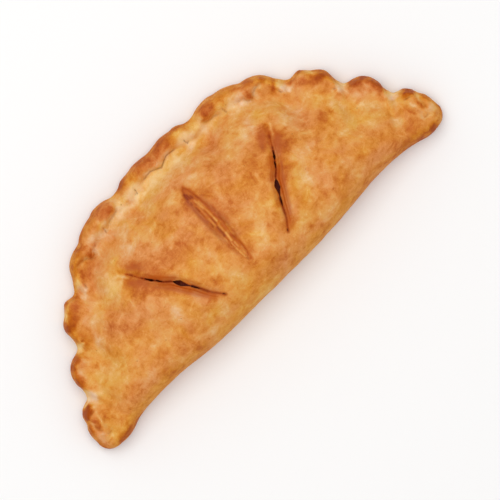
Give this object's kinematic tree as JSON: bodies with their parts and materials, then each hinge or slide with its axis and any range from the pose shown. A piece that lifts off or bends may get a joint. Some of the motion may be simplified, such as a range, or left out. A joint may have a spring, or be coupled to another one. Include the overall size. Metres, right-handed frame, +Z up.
{
  "type": "calzone",
  "caption": "Baked half-moon of folded dough with a scalloped crimped rim, a round folded edge and open steam slits that show its cheese and sauce filling.",
  "frame": {"origin": "centre of the bounding box's underside, on the surface that the calzone rests on", "axes": "+X along the fold from tip to tip, +Y from the folded edge to the crimped rim, +Z up"},
  "size_m": [0.2504, 0.0988, 0.0431],
  "materials": {
    "crust": "golden baked dough, matt, with browner patches",
    "filling": "melted cheese and tomato sauce, moist and glossy"
  },
  "bodies": {
    "root": {"crust": "crust", "filling": "filling"}
  },
  "joints": []
}
